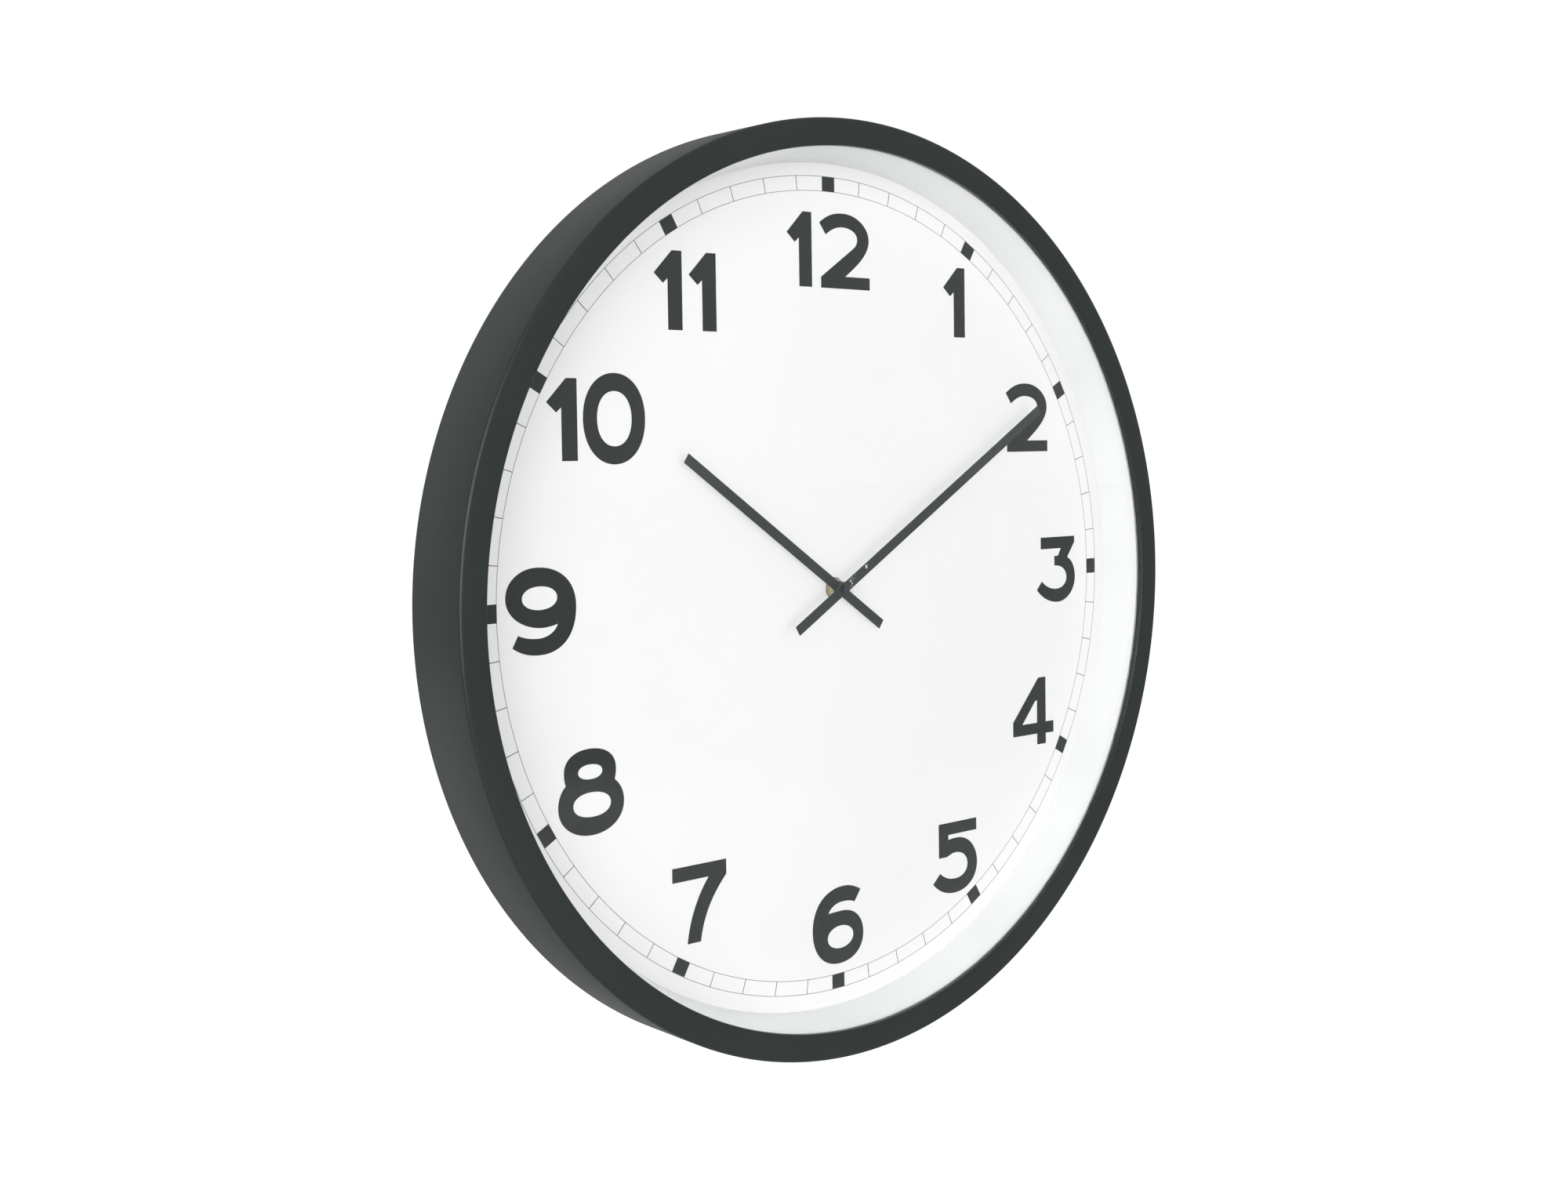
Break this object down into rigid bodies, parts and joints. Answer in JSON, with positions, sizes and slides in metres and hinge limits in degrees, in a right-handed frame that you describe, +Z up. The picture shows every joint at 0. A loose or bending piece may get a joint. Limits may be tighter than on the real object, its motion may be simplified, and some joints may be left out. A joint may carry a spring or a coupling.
{
  "type": "wall clock",
  "caption": "Large round analogue wall clock: black spun-metal case, white dial with bold numerals, straight hands and a battery quartz movement.",
  "frame": {"origin": "centre of the wall plane, on the axis of the hands: the case's rear rim lies in this plane", "axes": "+Z up to twelve o'clock, +X to three o'clock, +Y into the wall; the dial faces -Y"},
  "size_m": [0.6, 0.051, 0.6],
  "materials": {
    "case_paint": "matte black powder coat on spun steel",
    "zinc_steel": "zinc-plated steel, satin",
    "gasket_foam": "closed-cell foam strip, matte",
    "clear_glass": "clear float glass, polished",
    "white_enamel": "white satin moulded plastic",
    "dial_white": "white printed satin film on aluminium sheet",
    "black_rubber": "matte rubber",
    "nickel_steel": "bright nickel plate",
    "brass": "turned brass",
    "hand_black": "fine matte black lacquer",
    "nut_black": "blackened brass, satin",
    "gear_nylon": "moulded natural acetal",
    "magnet_grey": "bonded magnet, matte",
    "movement_black": "fine-grained moulded plastic",
    "board_green": "solder-masked laminate",
    "chip_black": "moulded epoxy",
    "stator_steel": "annealed soft iron sheet",
    "bobbin_white": "moulded plastic",
    "copper_wire": "enamelled copper wire",
    "cell_jacket": "plain printed metal jacket, no lettering"
  },
  "bodies": {
    "case": {"case_shell": "case_paint", "case_studs": "zinc_steel", "stud_washers": "zinc_steel", "stud_nuts": "zinc_steel", "glass_gasket": "gasket_foam", "glass_lens": "clear_glass", "reflector_ring": "white_enamel", "dial_plate": "dial_white", "hanger_bracket": "zinc_steel", "rubber_washer": "black_rubber", "steel_washer": "nickel_steel", "bush_nut": "brass", "centre_bush": "brass", "movement_housing": "movement_black", "rear_cover": "movement_black", "circuit_board": "board_green", "quartz_crystal": "nickel_steel", "driver_chip": "chip_black", "coil_core": "stator_steel", "coil_bobbin": "bobbin_white", "coil_winding": "copper_wire", "stator": "stator_steel", "contact_positive": "nickel_steel", "contact_negative": "nickel_steel"},
    "minute": {"minute_hand": "hand_black", "minute_collet": "hand_black", "hand_nut": "nut_black", "minute_shaft": "brass", "centre_wheel": "gear_nylon"},
    "hour": {"hour_hand": "hand_black", "hour_collet": "hand_black", "hour_wheel": "gear_nylon"},
    "motion": {"motion_wheel": "gear_nylon"},
    "third": {"third_wheel": "gear_nylon"},
    "second": {"second_wheel": "gear_nylon"},
    "intermediate": {"intermediate_wheel": "gear_nylon"},
    "rotor": {"rotor_magnet": "magnet_grey", "rotor_pinion": "gear_nylon"},
    "knob": {"setting_knob": "movement_black"},
    "battery": {"aa_cell": "cell_jacket"}
  },
  "joints": [
    {"name": "minute_turn", "type": "hinge", "parent": "case", "child": "minute", "pos_m": [0, 0, 0], "axis": [0, 1, 0], "continuous": true},
    {"name": "hour_turn", "type": "hinge", "parent": "case", "child": "hour", "pos_m": [0, 0, 0], "axis": [0, 1, 0], "continuous": true},
    {"name": "motion_turn", "type": "hinge", "parent": "case", "child": "motion", "pos_m": [-0.0048, 0, 0.00831], "axis": [0, 1, 0], "continuous": true},
    {"name": "third_turn", "type": "hinge", "parent": "case", "child": "third", "pos_m": [-0.0105, 0, 0], "axis": [0, 1, 0], "continuous": true},
    {"name": "second_turn", "type": "hinge", "parent": "case", "child": "second", "pos_m": [0, 0, 0], "axis": [0, 1, 0], "continuous": true},
    {"name": "intermediate_turn", "type": "hinge", "parent": "case", "child": "intermediate", "pos_m": [0.00909, 0, 0.00525], "axis": [0, 1, 0], "continuous": true},
    {"name": "rotor_turn", "type": "hinge", "parent": "case", "child": "rotor", "pos_m": [0.01142, 0, 0.01394], "axis": [0, 1, 0], "continuous": true},
    {"name": "knob_turn", "type": "hinge", "parent": "case", "child": "knob", "pos_m": [-0.01159, 0, 0.0151], "axis": [0, 1, 0], "continuous": true},
    {"name": "battery_slide", "type": "slide", "parent": "case", "child": "battery", "axis": [0, 1, 0], "range_m": [0, 0.03]}
  ],
  "couplings": [
    {"joint": "hour_turn", "follows": "minute_turn", "ratio": 0.083333},
    {"joint": "motion_turn", "follows": "minute_turn", "ratio": -0.33333},
    {"joint": "third_turn", "follows": "minute_turn", "ratio": -8},
    {"joint": "second_turn", "follows": "minute_turn", "ratio": 60},
    {"joint": "intermediate_turn", "follows": "minute_turn", "ratio": -360},
    {"joint": "rotor_turn", "follows": "minute_turn", "ratio": 1800},
    {"joint": "knob_turn", "follows": "minute_turn", "ratio": 1}
  ]
}
